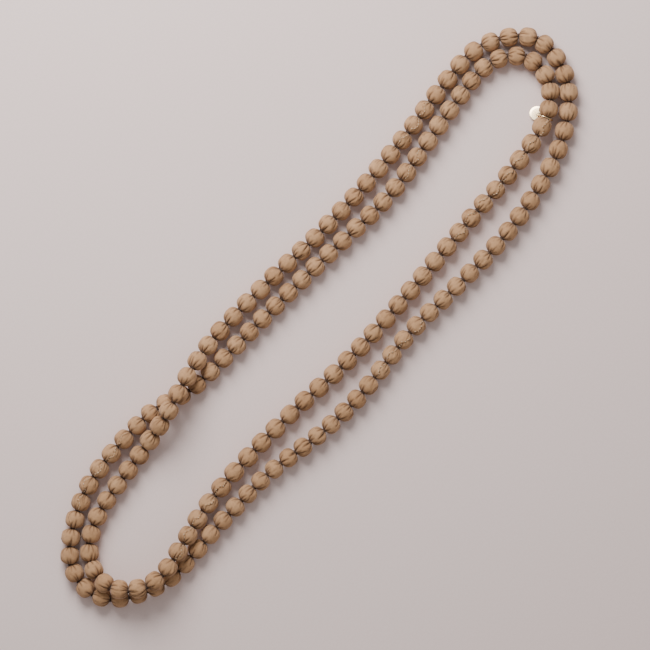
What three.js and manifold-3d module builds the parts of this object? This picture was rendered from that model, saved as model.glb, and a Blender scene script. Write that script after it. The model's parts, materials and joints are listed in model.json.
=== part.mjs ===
// Mala prayer beads: one closed strand of 160 fabric-covered beads, wound into two rounds and laid flat,
// with a small tag disc on a jump ring. Millimetres, +Z up. The surface it lies on is z = 0, the doubled
// loop runs along X with the tag towards +X, and the origin is under the middle of its box.
import * as THREE from 'three';
import Module from 'manifold-3d';
import { mergeVertices } from 'three/addons/utils/BufferGeometryUtils.js';

// ---- driving dimensions ----
const BEAD_WIDTH = 10.5; // a covered bead across
const NECK_LENGTH = 0.6; // between one covered bead and the next
const NECK_WIDTH = 2.8; // the gathered cover between two beads
const TIE_WIDTH = 2.0; // the thread binding that stands at a fold
const CLEARANCE = 0.3; // between pieces that touch
const RING_SHARE = 6 / 7; // the jump ring to the middle of its wire, as a share of a bead's width
const RING_WIDTH = RING_SHARE * BEAD_WIDTH;
const RING_WIRE = 0.8;
const RING_NECK_WIDTH = 2.4; // the neck that the jump ring runs on
const TAG_WIDTH = 9;
const TAG_THICKNESS = 0.5;
const TAG_HOLE = 2.4;
const TAG_RIM = 0.6; // metal left between the hole and the edge of the tag

// ---- how the ring and the tag lie ----
const RING_LEAN = 0.2; // sideways share of the ring's offset from its neck
const TAG_PLACE = 0.66; // round the ring from its lowest point
const TAG_YAW = -0.4;
const TAG_REST = 0.4; // height of the middle of the tag's far edge

// ---- the shape of one covered bead, as shares of its width ----
const SIDES = 8;
const HIP = { along: 0.18, radius: 0.41 }; // where the gathers open out
const SHOULDER = { along: 0.37, radius: 0.5 }; // where the bead reaches its full width
const END_RADIUS = 0.27; // the flat end of a run of beads, beside a fold
const FOLD_PLAY = 1.3; // clearances between a fold's tie and the end of the run beside it

// ---- how finely the round pieces are cut ----
const TIE_SIDES = { around: 8, down: 6 };
const RING_SIDES = { wire: 8, around: 28 };
const TAG_SIDES = { edge: 32, hole: 16 };

// ---- the route of the strand ----
// Each row is [x, y, lift, beads to the next row]. A row stands at a neck between two beads. lift is how
// far the neck is raised, as a share of one bead lying on another. A row whose x is a fold's name stands
// where the strand crosses that fold line. The numbers suit a bead spacing of ROUTE_SPACING.
const ROUTE_SPACING = 11.1;
const FOLDS = {
  A: { x: -127.3, lean: 0.09 },
  B: { x: -47.4, lean: -0.05 },
  C: { x: -8.5, lean: 0.11 },
  D: { x: 36, lean: 0.11 },
  E: { x: 80.5, lean: 0.11 },
  F: { x: 113.7, lean: 0.1 },
  G: { x: 146.6, lean: 0.1 },
};
const ROUTE = [
  [179.3, -14.2, 0.24, 3],
  ['G', -20, 0, 3],
  ['F', -21.5, 0, 3],
  ['E', -23, 0, 4],
  ['D', -25, 0, 4],
  ['C', -25, 0, 3],
  ['B', -22, 0, 4],
  [-93.5, -20.5, 0, 3],
  ['A', -22.5, 0, 2],
  [-150.5, -27, 0.7, 2],
  [-172, -30.5, 1.02, 1],
  [-183, -28.5, 1.05, 2],
  [-198.5, -13.5, 0.78, 2],
  [-196.5, 6, 0.04, 2],
  [-179, 19.5, 0, 5],
  ['A', 28, 0, 2],
  [-103.5, 31, 0.94, 1],
  [-93, 33.5, 1.07, 1],
  [-82, 36.5, 1, 1],
  [-71, 39, 0.76, 2],
  ['B', 42, 0, 4],
  ['C', 41, 0, 4],
  ['D', 38, 0, 4],
  ['E', 38, 0, 3],
  ['F', 40, 0, 3],
  ['G', 43.5, 0, 3],
  [185, 43, 0, 3],
  [210.5, 21.5, 0, 3],
  [203.5, -9.5, 0, 3],
  [176, -30, 0, 3],
  ['G', -39.5, 0, 3],
  ['F', -43.5, 0, 3],
  ['E', -43, 0, 4],
  ['D', -41, 0, 4],
  ['C', -44.5, 0, 3],
  ['B', -43, 0, 4],
  [-87.5, -36, 0, 4],
  ['A', -35, 0, 4],
  [-176, -34.5, 0, 3],
  [-204.5, -18, 0, 1],
  [-209.5, -8, 0, 2],
  [-205.5, 13.5, 0, 4],
  [-169, 36, 0, 4],
  ['A', 40.5, 0, 2],
  [-102.5, 38.5, 0, 2],
  [-82, 31.5, 0, 3],
  ['B', 29.5, 0, 4],
  ['C', 28, 0, 4],
  ['D', 25.5, 0, 4],
  ['E', 23, 0, 3],
  ['F', 27, 0, 3],
  ['G', 31.5, 0, 3],
  [181.5, 32.5, 0, 2],
  [198, 19.5, 0, 2],
  [196.2, -1.6, 0.04, 2],
];

// ---- sizes worked out from the driving ones ----
const SPACING = BEAD_WIDTH + NECK_LENGTH;
const LAY = SPACING / ROUTE_SPACING;
const BEAD_RADIUS = BEAD_WIDTH / 2;
const STACK = BEAD_WIDTH + CLEARANCE;
const TIE_RADIUS = TIE_WIDTH / 2;
const END_SETBACK = TIE_RADIUS + FOLD_PLAY * CLEARANCE;
const SAMPLES = 48; // points from one row of the route to the next

// ---- materials ----
const cloth = new THREE.MeshStandardMaterial({ color: 0xb8966f, roughness: 0.95, metalness: 0 });
const thread = new THREE.MeshStandardMaterial({ color: 0x4a2c18, roughness: 0.85, metalness: 0 });
const gold = new THREE.MeshStandardMaterial({ color: 0xe8cf9a, roughness: 0.2, metalness: 1 });

const wasm = await Module();
wasm.setup();

/** Turns a closed geometry into a solid for cutting. */
function toSolid(geometry) {
  const bare = geometry.clone();
  bare.deleteAttribute('normal');
  bare.deleteAttribute('uv');
  const merged = mergeVertices(bare, 1e-4);
  return new wasm.Manifold(new wasm.Mesh({
    numProp: 3,
    vertProperties: new Float32Array(merged.attributes.position.array),
    triVerts: new Uint32Array(merged.index.array),
  }));
}

/** Turns a cut solid back into a geometry. */
function toGeometry(solid) {
  const mesh = solid.getMesh();
  const geometry = new THREE.BufferGeometry();
  geometry.setAttribute('position', new THREE.BufferAttribute(mesh.vertProperties, 3));
  geometry.setIndex(new THREE.BufferAttribute(mesh.triVerts, 1));
  return geometry;
}

/** A point of the route, from the row's x and y or from the fold line that it stands on. */
function routePoint([x, y, lift]) {
  const fold = FOLDS[x];
  const across = fold ? fold.x + fold.lean * y : x;
  return new THREE.Vector3(across * LAY, y * LAY, BEAD_RADIUS + lift * STACK);
}

/** The centre of every neck, in order along the strand, evenly spaced between the rows of the route. */
function layNecks() {
  const curve = new THREE.CatmullRomCurve3(ROUTE.map(routePoint), true, 'centripetal');
  const necks = [];
  ROUTE.forEach(([, , , beads], row) => {
    const points = [];
    const reach = [0];
    for (let i = 0; i <= SAMPLES; i += 1) {
      points.push(curve.getPoint((row + i / SAMPLES) / ROUTE.length % 1));
      points[i].z = Math.max(points[i].z, BEAD_RADIUS);
      if (i > 0) reach.push(reach[i - 1] + points[i].distanceTo(points[i - 1]));
    }
    for (let bead = 0; bead < beads; bead += 1) {
      const goal = reach[SAMPLES] * bead / beads;
      const next = Math.max(1, reach.findIndex((length) => length >= goal));
      const share = (goal - reach[next - 1]) / (reach[next] - reach[next - 1]);
      necks.push(points[next - 1].clone().lerp(points[next], share));
    }
  });
  return necks;
}

/** One ring of a bead run: an octagon round a point, with flats below, above and at the sides. */
function sectionRing(centre, direction, radius) {
  const side = new THREE.Vector3().crossVectors(direction, new THREE.Vector3(0, 0, 1)).normalize();
  const up = new THREE.Vector3().crossVectors(side, direction).normalize();
  const corner = radius / Math.cos(Math.PI / SIDES);
  return Array.from({ length: SIDES }, (_, i) => {
    const angle = (i + 0.5) * 2 * Math.PI / SIDES;
    return centre.clone()
      .addScaledVector(side, corner * Math.cos(angle))
      .addScaledVector(up, corner * Math.sin(angle));
  });
}

/** Joins rings of the same number of corners into one closed solid with flat ends. */
function skinRings(rings) {
  const corners = rings.flat();
  const first = corners.length;
  const positions = [...corners, ringMiddle(rings[0]), ringMiddle(rings[rings.length - 1])];
  const index = [];
  for (let i = 0; i < SIDES; i += 1) {
    const j = (i + 1) % SIDES;
    index.push(first, i, j);
    index.push(first + 1, first - SIDES + j, first - SIDES + i);
    for (let row = 0; row + 1 < rings.length; row += 1) {
      const low = row * SIDES;
      const high = low + SIDES;
      index.push(low + i, high + i, low + j);
      index.push(low + j, high + i, high + j);
    }
  }
  const geometry = new THREE.BufferGeometry().setFromPoints(positions);
  geometry.setIndex(index);
  return geometry;
}

/** The middle of a ring of corners. */
function ringMiddle(ring) {
  return ring.reduce((sum, corner) => sum.add(corner), new THREE.Vector3()).divideScalar(ring.length);
}

/** The direction of the strand through a neck. */
function neckDirection(necks, i) {
  const count = necks.length;
  return necks[(i + 1) % count].clone().sub(necks[(i - 1 + count) % count]).normalize();
}

/** A run of covered beads from one fold neck to another. */
function beadRun(necks, start, beads) {
  const count = necks.length;
  const rings = [];
  for (let bead = 0; bead < beads; bead += 1) {
    const from = necks[(start + bead) % count];
    const to = necks[(start + bead + 1) % count];
    const length = from.distanceTo(to);
    const direction = to.clone().sub(from).normalize();
    const at = (along, radius) => {
      rings.push(sectionRing(from.clone().addScaledVector(direction, along), direction, radius));
    };
    if (bead === 0) at(END_SETBACK, END_RADIUS * BEAD_WIDTH);
    else addNeck(rings, necks, (start + bead) % count);
    for (const { along, radius } of [HIP, SHOULDER]) at(along * BEAD_WIDTH, radius * BEAD_WIDTH);
    for (const { along, radius } of [SHOULDER, HIP]) at(length - along * BEAD_WIDTH, radius * BEAD_WIDTH);
    if (bead === beads - 1) at(length - END_SETBACK, END_RADIUS * BEAD_WIDTH);
  }
  return skinRings(rings);
}

/** The gathered neck between two beads of a run. The ring's own neck is a short straight stretch. */
function addNeck(rings, necks, i) {
  const direction = neckDirection(necks, i);
  if (i > 0) {
    rings.push(sectionRing(necks[i], direction, NECK_WIDTH / 2));
    return;
  }
  for (const end of [-1, 1]) {
    const along = end * (RING_WIRE / 2 + CLEARANCE);
    const centre = necks[i].clone().addScaledVector(direction, along);
    rings.push(sectionRing(centre, direction, RING_NECK_WIDTH / 2));
  }
}

/** Adds one named piece to the assembly. */
function addPiece(group, name, geometry, material) {
  const mesh = new THREE.Mesh(geometry, material);
  mesh.name = name;
  group.add(mesh);
  return mesh;
}

/** The covered beads and the thread ties that stand at the fold lines. */
function buildStrand(necks) {
  const strand = new THREE.Group();
  const folds = foldNecks();
  folds.forEach(({ neck, fold, pass }, i) => {
    const next = folds[(i + 1) % folds.length];
    const beads = (next.neck - neck + necks.length) % necks.length;
    addPiece(strand, runName(folds[i], next), beadRun(necks, neck, beads), cloth);
    const ball = new THREE.SphereGeometry(TIE_RADIUS, TIE_SIDES.around, TIE_SIDES.down);
    addPiece(strand, `tie_${fold}_${pass}`, ball, thread).position.copy(necks[neck]);
  });
  return strand;
}

/** The necks that stand on fold lines, with the pass of the strand that each is on. */
function foldNecks() {
  const passes = ['round1_front', 'round1_back', 'round2_front', 'round2_back'];
  const perPass = Object.keys(FOLDS).length;
  const found = [];
  let neck = 0;
  for (const [x, , , beads] of ROUTE) {
    if (FOLDS[x]) found.push({ neck, fold: x, pass: passes[Math.floor(found.length / perPass)] });
    neck += beads;
  }
  return found;
}

/** The name of the run of beads between two fold necks. */
function runName(from, to) {
  if (from.pass === to.pass) {
    const [low, high] = [from.fold, to.fold].sort();
    return `beads_${from.pass}_${low}${high}`;
  }
  const [round] = from.pass.split('_');
  if (to.pass.startsWith(round)) return `beads_${round}_far_turn`;
  return round === 'round1' ? 'beads_outer_tag_turn' : 'beads_inner_tag_turn';
}

/** The jump ring and the tag disc on it. Their group stands at the ring's neck, with X along the strand. */
function buildTag(necks) {
  const group = new THREE.Group();
  const along = neckDirection(necks, 0);
  const heading = Math.atan2(along.y, along.x);
  group.position.copy(necks[0]);
  group.rotation.z = heading;

  const ringRadius = RING_WIDTH / 2;
  const neckCorner = RING_NECK_WIDTH / 2 / Math.cos(Math.PI / SIDES);
  const drop = ringRadius - RING_WIRE / 2 - CLEARANCE - neckCorner;
  const ringCentre = new THREE.Vector3(0, -RING_LEAN * drop, -Math.sqrt(1 - RING_LEAN ** 2) * drop);
  const wire = new THREE.TorusGeometry(ringRadius, RING_WIRE / 2, RING_SIDES.wire, RING_SIDES.around);
  const ring = addPiece(group, 'jump_ring', wire, gold);
  ring.rotation.y = Math.PI / 2;
  ring.position.copy(ringCentre);

  const holeOffset = TAG_WIDTH / 2 - TAG_RIM - TAG_HOLE / 2;
  const hole = ringCentre.clone();
  hole.y -= ringRadius * Math.sin(TAG_PLACE);
  hole.z -= ringRadius * Math.cos(TAG_PLACE);
  const tilt = Math.asin((necks[0].z + hole.z - TAG_REST) / (holeOffset + TAG_WIDTH / 2));
  const tag = addPiece(group, 'tag_disc', tagGeometry(holeOffset), gold);
  tag.position.copy(hole);
  tag.rotation.set(tilt, 0, TAG_YAW, 'ZXY');
  return group;
}

/** The tag disc, with its hole at the origin and its middle towards -Y. */
function tagGeometry(holeOffset) {
  const disc = new THREE.CylinderGeometry(TAG_WIDTH / 2, TAG_WIDTH / 2, TAG_THICKNESS, TAG_SIDES.edge);
  const hole = new THREE.CylinderGeometry(TAG_HOLE / 2, TAG_HOLE / 2, 2 * TAG_THICKNESS, TAG_SIDES.hole);
  disc.rotateX(Math.PI / 2).translate(0, -holeOffset, 0);
  hole.rotateX(Math.PI / 2);
  return toGeometry(toSolid(disc).subtract(toSolid(hole)));
}

const necks = layNecks();
const mala = new THREE.Group();
mala.add(buildStrand(necks), buildTag(necks));

export default mala;
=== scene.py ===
"""Finished look of a strand of mala prayer beads: covered beads, neck ties, cores, cord and a small gold tag."""

import json
import logging
import math
from collections.abc import Iterable, Sequence
from dataclasses import dataclass, field
from enum import Enum
from typing import Any

import bpy
import numpy as np
from mathutils import Matrix, Vector

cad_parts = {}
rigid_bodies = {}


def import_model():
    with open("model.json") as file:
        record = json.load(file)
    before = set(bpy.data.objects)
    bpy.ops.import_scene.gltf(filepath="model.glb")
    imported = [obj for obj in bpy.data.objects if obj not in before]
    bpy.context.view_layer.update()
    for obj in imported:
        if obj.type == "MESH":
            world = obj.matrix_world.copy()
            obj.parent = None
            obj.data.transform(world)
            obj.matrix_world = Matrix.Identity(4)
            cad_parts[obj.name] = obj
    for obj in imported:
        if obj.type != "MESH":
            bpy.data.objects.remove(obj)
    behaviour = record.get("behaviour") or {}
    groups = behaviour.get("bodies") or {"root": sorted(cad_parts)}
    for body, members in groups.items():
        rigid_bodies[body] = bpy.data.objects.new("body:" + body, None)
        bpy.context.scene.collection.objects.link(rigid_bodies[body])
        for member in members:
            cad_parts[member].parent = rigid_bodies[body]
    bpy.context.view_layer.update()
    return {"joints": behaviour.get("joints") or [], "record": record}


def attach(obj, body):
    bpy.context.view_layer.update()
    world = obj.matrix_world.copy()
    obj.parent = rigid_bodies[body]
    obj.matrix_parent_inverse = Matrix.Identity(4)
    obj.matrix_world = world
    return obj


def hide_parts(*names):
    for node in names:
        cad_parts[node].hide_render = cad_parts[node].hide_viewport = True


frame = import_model()
LOG = logging.getLogger("mala")

# The folds of the loop: where each fold line crosses the X axis, and how far it leans along X for each metre of Y.
FOLDS = {
    "A": (-0.1273, 0.09),
    "B": (-0.0474, -0.05),
    "C": (-0.0085, 0.11),
    "D": (0.0360, 0.11),
    "E": (0.0805, 0.11),
    "F": (0.1137, 0.10),
    "G": (0.1466, 0.10),
}

# The route of the strand, in metres: x or the fold that the row stands on, y, the lift as a share of one bead lying
# on another, and the number of beads up to the next row.
ROUTE = (
    (0.1793, -0.0142, 0.24, 3),
    ("G", -0.0200, 0.0, 3),
    ("F", -0.0215, 0.0, 3),
    ("E", -0.0230, 0.0, 4),
    ("D", -0.0250, 0.0, 4),
    ("C", -0.0250, 0.0, 3),
    ("B", -0.0220, 0.0, 4),
    (-0.0935, -0.0205, 0.0, 3),
    ("A", -0.0225, 0.0, 2),
    (-0.1505, -0.0270, 0.7, 2),
    (-0.1720, -0.0305, 1.02, 1),
    (-0.1830, -0.0285, 1.05, 2),
    (-0.1985, -0.0135, 0.78, 2),
    (-0.1965, 0.0060, 0.04, 2),
    (-0.1790, 0.0195, 0.0, 5),
    ("A", 0.0280, 0.0, 2),
    (-0.1035, 0.0310, 0.94, 1),
    (-0.0930, 0.0335, 1.07, 1),
    (-0.0820, 0.0365, 1.0, 1),
    (-0.0710, 0.0390, 0.76, 2),
    ("B", 0.0420, 0.0, 4),
    ("C", 0.0410, 0.0, 4),
    ("D", 0.0380, 0.0, 4),
    ("E", 0.0380, 0.0, 3),
    ("F", 0.0400, 0.0, 3),
    ("G", 0.0435, 0.0, 3),
    (0.1850, 0.0430, 0.0, 3),
    (0.2105, 0.0215, 0.0, 3),
    (0.2035, -0.0095, 0.0, 3),
    (0.1760, -0.0300, 0.0, 3),
    ("G", -0.0395, 0.0, 3),
    ("F", -0.0435, 0.0, 3),
    ("E", -0.0430, 0.0, 4),
    ("D", -0.0410, 0.0, 4),
    ("C", -0.0445, 0.0, 3),
    ("B", -0.0430, 0.0, 4),
    (-0.0875, -0.0360, 0.0, 4),
    ("A", -0.0350, 0.0, 4),
    (-0.1760, -0.0345, 0.0, 3),
    (-0.2045, -0.0180, 0.0, 1),
    (-0.2095, -0.0080, 0.0, 2),
    (-0.2055, 0.0135, 0.0, 4),
    (-0.1690, 0.0360, 0.0, 4),
    ("A", 0.0405, 0.0, 2),
    (-0.1025, 0.0385, 0.0, 2),
    (-0.0820, 0.0315, 0.0, 3),
    ("B", 0.0295, 0.0, 4),
    ("C", 0.0280, 0.0, 4),
    ("D", 0.0255, 0.0, 4),
    ("E", 0.0230, 0.0, 3),
    ("F", 0.0270, 0.0, 3),
    ("G", 0.0315, 0.0, 3),
    (0.1815, 0.0325, 0.0, 2),
    (0.1980, 0.0195, 0.0, 2),
    (0.1962, -0.0016, 0.04, 2),
)

PASSES = ("round1_front", "round1_back", "round2_front", "round2_back")


class SeamSide(Enum):
    """Which way the sewn seam of the cover faces, as an angle round the strand in degrees."""

    TOP = 90.0
    UNDER = 262.0


# Beads over which the sleeve's seam faces upwards. Everywhere else it has rolled underneath.
SEAM_SHOWS = ((1, 8), (26, 30), (65, 67), (93, 96), (122, 126), (147, 148))


# ---- small helpers ----
def unit(vectors: np.ndarray) -> np.ndarray:
    """The same vectors with a length of one."""
    return vectors / np.linalg.norm(vectors, axis=-1, keepdims=True)


def turned(angles: np.ndarray) -> np.ndarray:
    """Angles brought into the half turn either side of nought."""
    return (angles + math.pi) % (2 * math.pi) - math.pi


def surface_mesh(
    name: str,
    points: np.ndarray,
    quads: np.ndarray,
    triangles: np.ndarray | None = None,
) -> bpy.types.Mesh:
    """Makes a smooth-shaded mesh from arrays.

    Args:
        name: The name of the mesh.
        points: One row of x, y and z for each vertex, in metres.
        quads: One row of four vertex numbers for each four-sided face.
        triangles: One row of three vertex numbers for each three-sided face, or None.

    Returns:
        The finished mesh, with its edges worked out.
    """
    triangles = np.zeros((0, 3), int) if triangles is None else triangles
    mesh = bpy.data.meshes.new(name)
    mesh.vertices.add(len(points))
    mesh.vertices.foreach_set("co", np.asarray(points, np.float32).ravel())
    corners = np.concatenate([quads.ravel(), triangles.ravel()]).astype(np.int32)
    starts = np.concatenate([np.arange(len(quads)) * 4, 4 * len(quads) + np.arange(len(triangles)) * 3])
    mesh.loops.add(len(corners))
    mesh.loops.foreach_set("vertex_index", corners)
    mesh.polygons.add(len(starts))
    mesh.polygons.foreach_set("loop_start", starts.astype(np.int32))
    mesh.update(calc_edges=True)
    mesh.shade_smooth()
    return mesh


def line_mesh(
    name: str,
    lines: Iterable[np.ndarray],
    marks: dict[str, Sequence[np.ndarray]] | None = None,
) -> bpy.types.Mesh:
    """Makes a mesh of loose polylines, for a node tree to grow pieces along.

    Args:
        name: The name of the mesh.
        lines: The points of each line. A line of one point stays a loose vertex.
        marks: Vectors for each point of each line, under the name that the tree reads them by.

    Returns:
        The mesh of vertices and edges.
    """
    lines = list(lines)
    edges, first = [], 0
    for line in lines:
        edges += [(first + i, first + i + 1) for i in range(len(line) - 1)]
        first += len(line)
    mesh = bpy.data.meshes.new(name)
    mesh.from_pydata(np.concatenate(lines).tolist(), edges, [])
    for mark, vectors in (marks or {}).items():
        layer = mesh.attributes.new(mark, "FLOAT_VECTOR", "POINT")
        layer.data.foreach_set("vector", np.concatenate(list(vectors)).astype(np.float32).ravel())
    return mesh


def placed(name: str, mesh: bpy.types.Mesh, material: bpy.types.Material) -> bpy.types.Object:
    """Puts a mesh in the scene as a piece with one material.

    Args:
        name: The name of the piece.
        mesh: Its mesh, already in its place.
        material: Its finish.

    Returns:
        The new object, at the origin, unturned and unscaled.
    """
    mesh.materials.clear()
    mesh.materials.append(material)
    piece = bpy.data.objects.new(name, mesh)
    bpy.context.scene.collection.objects.link(piece)
    return piece


# ---- finishes ----
class Finish:
    """A procedural material under construction, with its shader and its surface coordinates."""

    def __init__(self, name: str, roughness: float, metallic: float = 0.0) -> None:
        """Starts a material with one shader.

        Args:
            name: The name of the material.
            roughness: The shader's roughness.
            metallic: One for metal, nought for anything else.
        """
        self.material = bpy.data.materials.new(name)
        self.material.use_nodes = True
        self.tree = self.material.node_tree
        self.shader = self.tree.nodes["Principled BSDF"]
        self.shader.inputs["Roughness"].default_value = roughness
        self.shader.inputs["Metallic"].default_value = metallic
        self.place = self.node("ShaderNodeTexCoord").outputs["Object"]

    def node(self, kind: str, settings: dict[str, Any] | None = None, **inputs: Any) -> bpy.types.Node:
        """Adds a node.

        Args:
            kind: The node's type.
            settings: Properties of the node itself.
            inputs: Values or sockets for its inputs, with _ for a space in the input's name.

        Returns:
            The new node.
        """
        made = self.tree.nodes.new(kind)
        for key, value in (settings or {}).items():
            setattr(made, key, value)
        for key, value in inputs.items():
            self.feed(made.inputs[key.replace("_", " ")], value)
        return made

    def feed(self, socket: bpy.types.NodeSocket, value: Any) -> None:
        """Links a socket to an input, or sets the input's value.

        Args:
            socket: The input to set.
            value: A socket to link, or a plain value.
        """
        if isinstance(value, bpy.types.NodeSocket):
            self.tree.links.new(value, socket)
        else:
            socket.default_value = value

    def attribute(self, name: str) -> bpy.types.NodeSocket:
        """The value of a named attribute of the mesh."""
        return self.node("ShaderNodeAttribute", {"attribute_name": name}).outputs["Fac"]

    def noise(self, scale: float, detail: float = 2.0, at: Any = None, **inputs: Any) -> bpy.types.NodeSocket:
        """Cloudy noise.

        Args:
            scale: Its scale, larger for finer clouds.
            detail: Layers of finer noise in it.
            at: The coordinates it reads, or None for the piece's own place.
            inputs: Any other inputs of the noise node.

        Returns:
            The noise, from nought to one.
        """
        where = self.place if at is None else at
        return self.node("ShaderNodeTexNoise", Vector=where, Scale=scale, Detail=detail, **inputs).outputs["Fac"]

    def sum(self, operation: str, *values: Any, clamp: bool = False) -> bpy.types.NodeSocket:
        """The result of a sum on numbers or sockets.

        Args:
            operation: The math node's operation.
            *values: What it works on, sockets or numbers.
            clamp: Whether the result is kept from nought to one.

        Returns:
            The result.
        """
        made = self.node("ShaderNodeMath", {"operation": operation, "use_clamp": clamp})
        for socket, value in zip(made.inputs, values):
            self.feed(socket, value)
        return made.outputs[0]

    def ramp(
        self,
        value: bpy.types.NodeSocket,
        *stops: tuple[float, tuple[float, float, float]],
    ) -> bpy.types.NodeSocket:
        """A colour that changes with a value.

        Args:
            value: The value, from nought to one.
            stops: Each place on the way, with its colour.

        Returns:
            The colour.
        """
        made = self.node("ShaderNodeValToRGB", Fac=value)
        elements = made.color_ramp.elements
        while len(elements) < len(stops):
            elements.new(0.5)
        for element, (at, colour) in zip(elements, stops):
            element.position = at
            element.color = (*colour, 1.0)
        return made.outputs["Color"]

    def mixed(self, share: Any, first: Any, second: Any, blend: str = "MIX") -> bpy.types.NodeSocket:
        """Two colours mixed.

        Args:
            share: How much of the second shows.
            first: The first colour or socket.
            second: The second colour or socket.
            blend: How they are mixed.

        Returns:
            The mixed colour.
        """
        made = self.node("ShaderNodeMix", {"data_type": "RGBA", "blend_type": blend})
        self.feed(made.inputs["Factor"], share)
        for socket, value in zip(made.inputs[6:8], (first, second)):
            self.feed(socket, (*value, 1.0) if isinstance(value, tuple) else value)
        return made.outputs[2]

    def coloured(self, colour: bpy.types.NodeSocket) -> None:
        """Gives the shader its colour."""
        self.feed(self.shader.inputs["Base Color"], colour)

    def roughened(self, low: float, high: float, value: bpy.types.NodeSocket) -> None:
        """Lets the roughness wander between two values with a pattern."""
        spread = self.sum("MULTIPLY_ADD", value, high - low, low)
        self.feed(self.shader.inputs["Roughness"], spread)

    def bumped(self, height: bpy.types.NodeSocket, distance: float, strength: float = 1.0) -> None:
        """Raises the surface's fine relief.

        Args:
            height: The pattern's height, from nought to one.
            distance: How high one stands, in metres.
            strength: How strongly it shows.
        """
        relief = self.node("ShaderNodeBump", Height=height, Distance=distance, Strength=strength)
        self.feed(self.shader.inputs["Normal"], relief.outputs["Normal"])


@dataclass(frozen=True)
class CoverCloth:
    """Fine plain-woven tan cotton, with painted shade darkening its gathers and the seam's fold."""

    pale: tuple[float, float, float] = (0.560, 0.330, 0.175)
    deep: tuple[float, float, float] = (0.370, 0.195, 0.092)
    # fold is the near-black brown of painted shade in the pleats, by the necks and beside the seam.
    fold: tuple[float, float, float] = (0.050, 0.014, 0.004)
    threads: float = 2600.0

    def made(self) -> bpy.types.Material:
        """The cloth's material.

        Returns:
            The material.
        """
        finish = Finish("cover_cloth", 0.92)
        shader = finish.shader
        shader.inputs["Specular IOR Level"].default_value = 0.22
        shader.inputs["Sheen Weight"].default_value = 0.18
        shader.inputs["Sheen Roughness"].default_value = 0.40
        flat = finish.node("ShaderNodeUVMap", {"uv_map": "ClothMap"}).outputs["UV"]
        uneven = finish.node("ShaderNodeVectorMath", {"operation": "MULTIPLY"})
        finish.feed(uneven.inputs[0], flat)
        finish.feed(uneven.inputs[1], (1.0, 1.0, 0.0))
        weave = []
        for direction in ("X", "Y"):
            wave = finish.node(
                "ShaderNodeTexWave",
                {"bands_direction": direction},
                Vector=uneven.outputs[0],
                Scale=self.threads * math.pi / 10,
                Distortion=0.9,
                Detail=1.0,
                Detail_Scale=1.2,
            )
            weave.append(wave.outputs["Fac"])
        cross = finish.sum("MAXIMUM", *weave)
        slub = finish.noise(900.0, 3.0)
        cloud = finish.noise(70.0, 3.0)
        tone = finish.attribute("tone")
        shade = finish.sum(
            "MULTIPLY_ADD", cloud, 0.50, finish.sum("MULTIPLY_ADD", tone, 0.22, finish.sum("MULTIPLY", slub, 0.52))
        )
        colour = finish.ramp(shade, (0.30, self.deep), (0.95, self.pale))
        colour = finish.mixed(finish.sum("MULTIPLY_ADD", cross, -0.30, 0.30), colour, self.deep)
        # Painted shade: the crease attribute mixes the pleats, the cloth next to each tie and one flank of the seam
        # towards the fold colour, broken up by the slub noise.
        crease = finish.attribute("crease")
        ragged = finish.sum("MULTIPLY_ADD", slub, 0.5, 0.75)
        colour = finish.mixed(finish.sum("MULTIPLY", crease, ragged, clamp=True), colour, self.fold)
        finish.coloured(colour)
        relief = finish.sum("MULTIPLY_ADD", slub, 0.6, cross)
        finish.bumped(relief, 0.00006, 0.9)
        return finish.material


@dataclass(frozen=True)
class TwistedThread:
    """Spun thread, darker between its turns."""

    name: str
    body: tuple[float, float, float]
    shade: tuple[float, float, float]
    twist: float = 2400.0

    def made(self) -> bpy.types.Material:
        """The thread's material.

        Returns:
            The material.
        """
        finish = Finish(self.name, 0.85)
        finish.shader.inputs["Sheen Weight"].default_value = 0.15
        strands = finish.noise(self.twist, 2.0)
        finish.coloured(finish.ramp(strands, (0.35, self.shade), (0.65, self.body)))
        finish.bumped(strands, 0.00004, 0.8)
        return finish.material


@dataclass(frozen=True)
class GoldPlate:
    """Polished pale gold plate, with the faint cloudiness of handled metal."""

    colour: tuple[float, float, float] = (0.94, 0.75, 0.49)
    worn: tuple[float, float, float] = (0.88, 0.66, 0.38)

    def made(self) -> bpy.types.Material:
        """The plate's material.

        Returns:
            The material.
        """
        finish = Finish("gold_plate", 0.16, 1.0)
        cloud = finish.noise(420.0, 3.0)
        scuffs = finish.noise(2600.0, 2.0)
        finish.coloured(finish.ramp(cloud, (0.35, self.worn), (0.65, self.colour)))
        finish.roughened(0.16, 0.28, cloud)
        finish.bumped(scuffs, 0.000002, 0.3)
        return finish.material


@dataclass(frozen=True)
class TurnedWood:
    """Pale turned wood with fine grain along one axis."""

    pale: tuple[float, float, float] = (0.46, 0.30, 0.17)
    deep: tuple[float, float, float] = (0.30, 0.17, 0.08)

    def made(self) -> bpy.types.Material:
        """The wood's material.

        Returns:
            The material.
        """
        finish = Finish("turned_wood", 0.6)
        stretched = finish.node("ShaderNodeMapping", Vector=finish.place, Scale=(1.0, 1.0, 6.0)).outputs["Vector"]
        grain = finish.noise(520.0, 4.0, at=stretched, Distortion=1.2)
        finish.coloured(finish.ramp(grain, (0.30, self.deep), (0.70, self.pale)))
        finish.bumped(grain, 0.00003, 0.6)
        return finish.material


@dataclass(frozen=True)
class PaperFloor:
    """A pale matt sheet of paper to lie on."""

    pale: tuple[float, float, float] = (0.830, 0.675, 0.645)
    deep: tuple[float, float, float] = (0.805, 0.648, 0.618)

    def made(self) -> bpy.types.Material:
        """The paper's material.

        Returns:
            The material.
        """
        finish = Finish("paper_floor", 0.95)
        finish.shader.inputs["Specular IOR Level"].default_value = 0.1
        fibre = finish.noise(700.0, 4.0)
        finish.coloured(finish.ramp(fibre, (0.3, self.deep), (0.7, self.pale)))
        finish.bumped(fibre, 0.00002, 0.4)
        return finish.material


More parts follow.
